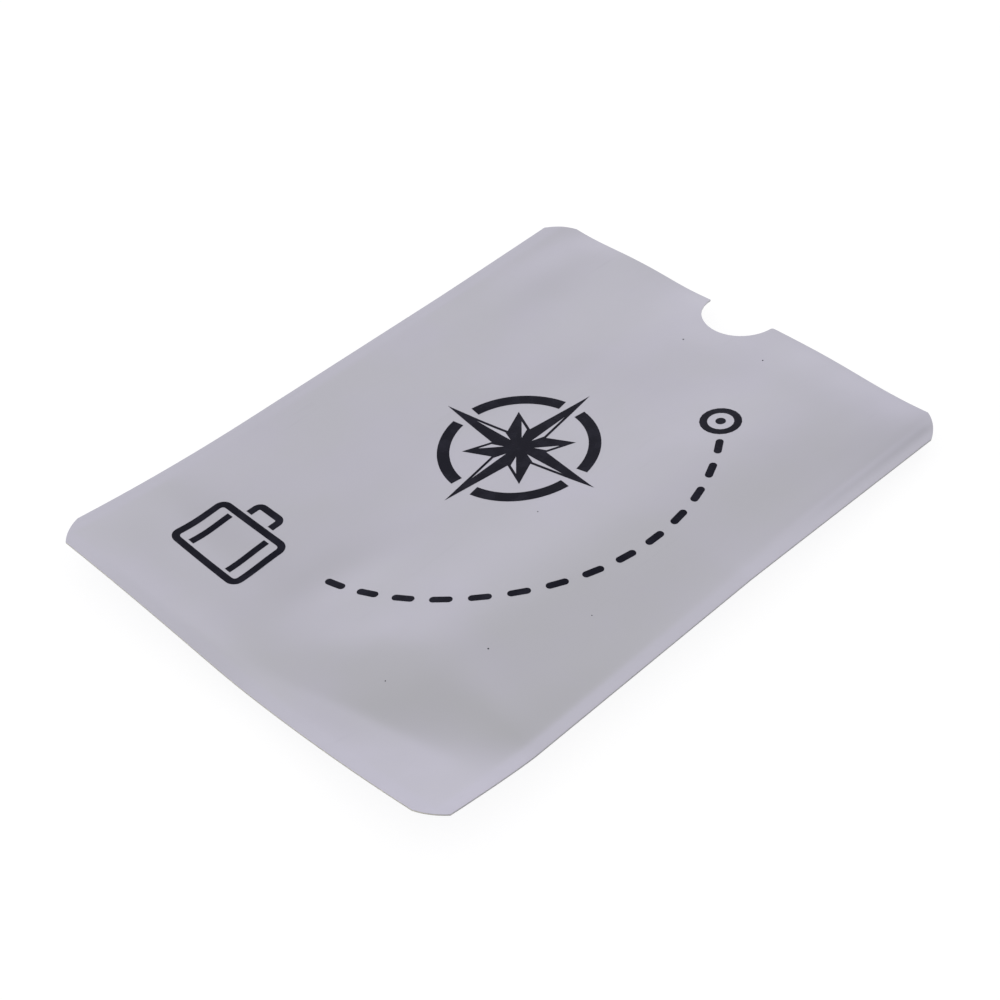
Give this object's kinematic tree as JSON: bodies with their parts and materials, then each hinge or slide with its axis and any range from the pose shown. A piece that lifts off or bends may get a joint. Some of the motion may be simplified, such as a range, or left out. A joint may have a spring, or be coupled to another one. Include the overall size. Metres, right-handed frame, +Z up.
{
  "type": "travel document sleeve",
  "caption": "Thin sealed pouch of metallised laminate for a passport, open at one short end with a round thumb notch.",
  "frame": {"origin": "under the middle of the sleeve, on the surface that it rests on", "axes": "+X across the sleeve, +Y from the sealed end to the open mouth, +Z up from the resting surface to the printed face"},
  "size_m": [0.102, 0.133, 0.0083],
  "materials": {
    "cover_film": "satin metallised film",
    "foil_shield": "bright foil",
    "sealing_liner": "matte",
    "heat_seal": "matte"
  },
  "bodies": {
    "root": {"front_cover_film": "cover_film", "front_foil_shield": "foil_shield", "front_sealing_liner": "sealing_liner", "heat_seal_band": "heat_seal", "back_sealing_liner": "sealing_liner", "back_foil_shield": "foil_shield", "back_cover_film": "cover_film"}
  },
  "joints": []
}
